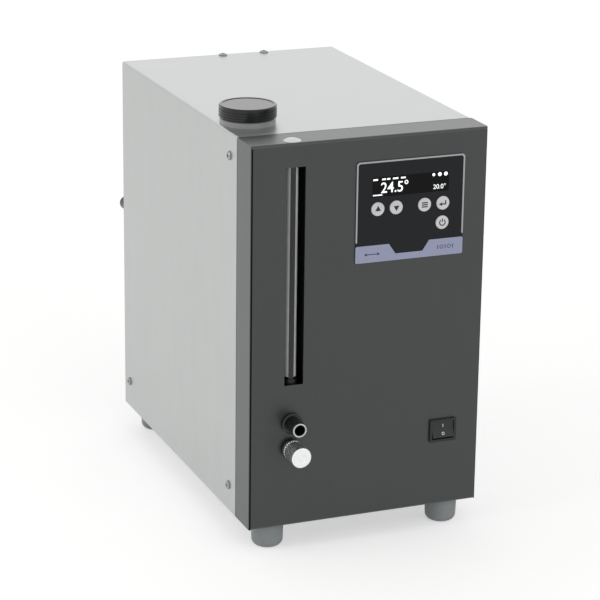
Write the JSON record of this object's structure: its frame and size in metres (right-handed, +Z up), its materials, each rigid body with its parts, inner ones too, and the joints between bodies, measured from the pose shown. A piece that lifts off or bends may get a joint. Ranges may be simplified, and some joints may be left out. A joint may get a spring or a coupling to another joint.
{
  "type": "recirculating chiller",
  "caption": "Bench-top recirculating chiller: steel hood and dark front panel on feet, with filler cap, sight tube, drain valve, rocker switch and keypad controller.",
  "frame": {"origin": "on the floor under the middle of the casing, where the feet stand", "axes": "+X to the right across the front panel, +Y from the front panel to the rear panel, +Z up"},
  "size_m": [0.229, 0.414, 0.3972],
  "materials": {
    "brushed_stainless": "brushed, satin",
    "panel_paint": "fine satin paint",
    "grey_sheet": "satin sheet",
    "foot_rubber": "satin moulded",
    "screw_steel": "zinc plated",
    "neck_plastic": "glossy moulded",
    "cap_plastic": "glossy moulded",
    "gasket_rubber": "matt",
    "tank_steel": "satin",
    "insulation_foam": "closed-cell foam",
    "clear_tube": "clear, glossy",
    "fitting_plastic": "moulded",
    "white_plastic": "glossy moulded",
    "black_plastic": "glossy moulded",
    "valve_brass": "turned",
    "knob_metal": "turned, bright",
    "switch_plastic": "moulded",
    "controller_foil": "printed foil",
    "controller_trim": "printed line",
    "interface_strip": "printed strip",
    "display_glass": "glossy",
    "housing_plastic": "moulded",
    "key_plastic": "satin moulded",
    "compressor_enamel": "glossy enamel",
    "fin_aluminium": "mill finish",
    "copper_tube": "drawn copper",
    "hose_rubber": "matt",
    "fitting_steel": "turned stainless",
    "inlet_plastic": "moulded",
    "pin_metal": "nickel plated"
  },
  "bodies": {
    "casing": {"hood": "brushed_stainless", "front_panel": "panel_paint", "front_bulkhead": "grey_sheet", "rear_panel": "grey_sheet", "base_plate": "grey_sheet", "foot_front_left": "foot_rubber", "foot_front_right": "foot_rubber", "foot_rear_left": "foot_rubber", "foot_rear_right": "foot_rubber", "foot_screws": "screw_steel", "hood_screws": "screw_steel", "rear_screws": "screw_steel", "filler_neck": "neck_plastic", "reservoir": "tank_steel", "tank_insulation": "insulation_foam", "tank_stand": "grey_sheet", "level_tube": "clear_tube", "level_fitting": "fitting_plastic", "sight_channel": "fitting_plastic", "sight_plug": "white_plastic", "drain_nozzle": "black_plastic", "valve_body": "valve_brass", "valve_collar": "black_plastic", "switch_bezel": "switch_plastic", "controller_foil": "controller_foil", "controller_trim": "controller_trim", "interface_strip": "interface_strip", "display_window": "display_glass", "controller_housing": "housing_plastic", "compressor": "compressor_enamel", "compressor_grommets": "gasket_rubber", "condenser": "fin_aluminium", "fan_housing": "housing_plastic", "evaporator": "tank_steel", "filter_dryer": "copper_tube", "discharge_pipe": "copper_tube", "suction_pipe": "copper_tube", "pump": "housing_plastic", "pump_hose": "hose_rubber", "supply_hose": "hose_rubber", "outlet_hose": "hose_rubber", "return_hose": "hose_rubber", "overflow_hose": "hose_rubber", "drain_pipe": "hose_rubber", "hose_clamps": "screw_steel", "pump_outlet": "fitting_steel", "pump_inlet": "fitting_steel", "overflow_nozzle": "black_plastic", "mains_inlet": "inlet_plastic", "mains_pins": "pin_metal"},
    "filler_cap": {"filler_cap": "cap_plastic", "cap_gasket": "gasket_rubber"},
    "drain_knob": {"drain_knob": "knob_metal"},
    "power_rocker": {"switch_rocker": "switch_plastic"},
    "key_up": {"key_up": "key_plastic"},
    "key_down": {"key_down": "key_plastic"},
    "key_set": {"key_set": "key_plastic"},
    "key_enter": {"key_enter": "key_plastic"},
    "key_power": {"key_power": "key_plastic"},
    "fan": {"fan_rotor": "housing_plastic"}
  },
  "joints": [
    {"name": "cap_lift", "type": "slide", "parent": "casing", "child": "filler_cap", "axis": [0, 0, 1], "range_m": [0, 0.045]},
    {"name": "drain_turn", "type": "hinge", "parent": "casing", "child": "drain_knob", "pos_m": [-0.073, -0.195, 0.0987], "axis": [0, -1, 0], "range_deg": [0, 540]},
    {"name": "rocker_tilt", "type": "hinge", "parent": "casing", "child": "power_rocker", "pos_m": [0.0764, -0.177, 0.0972], "axis": [1, 0, 0], "range_deg": [0, 16]},
    {"name": "key_up_press", "type": "slide", "parent": "casing", "child": "key_up", "axis": [0, 1, 0], "range_m": [0, 0.0006], "stiffness_N_per_m": 800},
    {"name": "key_down_press", "type": "slide", "parent": "casing", "child": "key_down", "axis": [0, 1, 0], "range_m": [0, 0.0006], "stiffness_N_per_m": 800},
    {"name": "key_set_press", "type": "slide", "parent": "casing", "child": "key_set", "axis": [0, 1, 0], "range_m": [0, 0.0006], "stiffness_N_per_m": 800},
    {"name": "key_enter_press", "type": "slide", "parent": "casing", "child": "key_enter", "axis": [0, 1, 0], "range_m": [0, 0.0006], "stiffness_N_per_m": 800},
    {"name": "key_power_press", "type": "slide", "parent": "casing", "child": "key_power", "axis": [0, 1, 0], "range_m": [0, 0.0006], "stiffness_N_per_m": 800},
    {"name": "fan_spin", "type": "hinge", "parent": "casing", "child": "fan", "pos_m": [0.0303, 0.16, 0.1153], "axis": [0, 1, 0], "continuous": true}
  ]
}
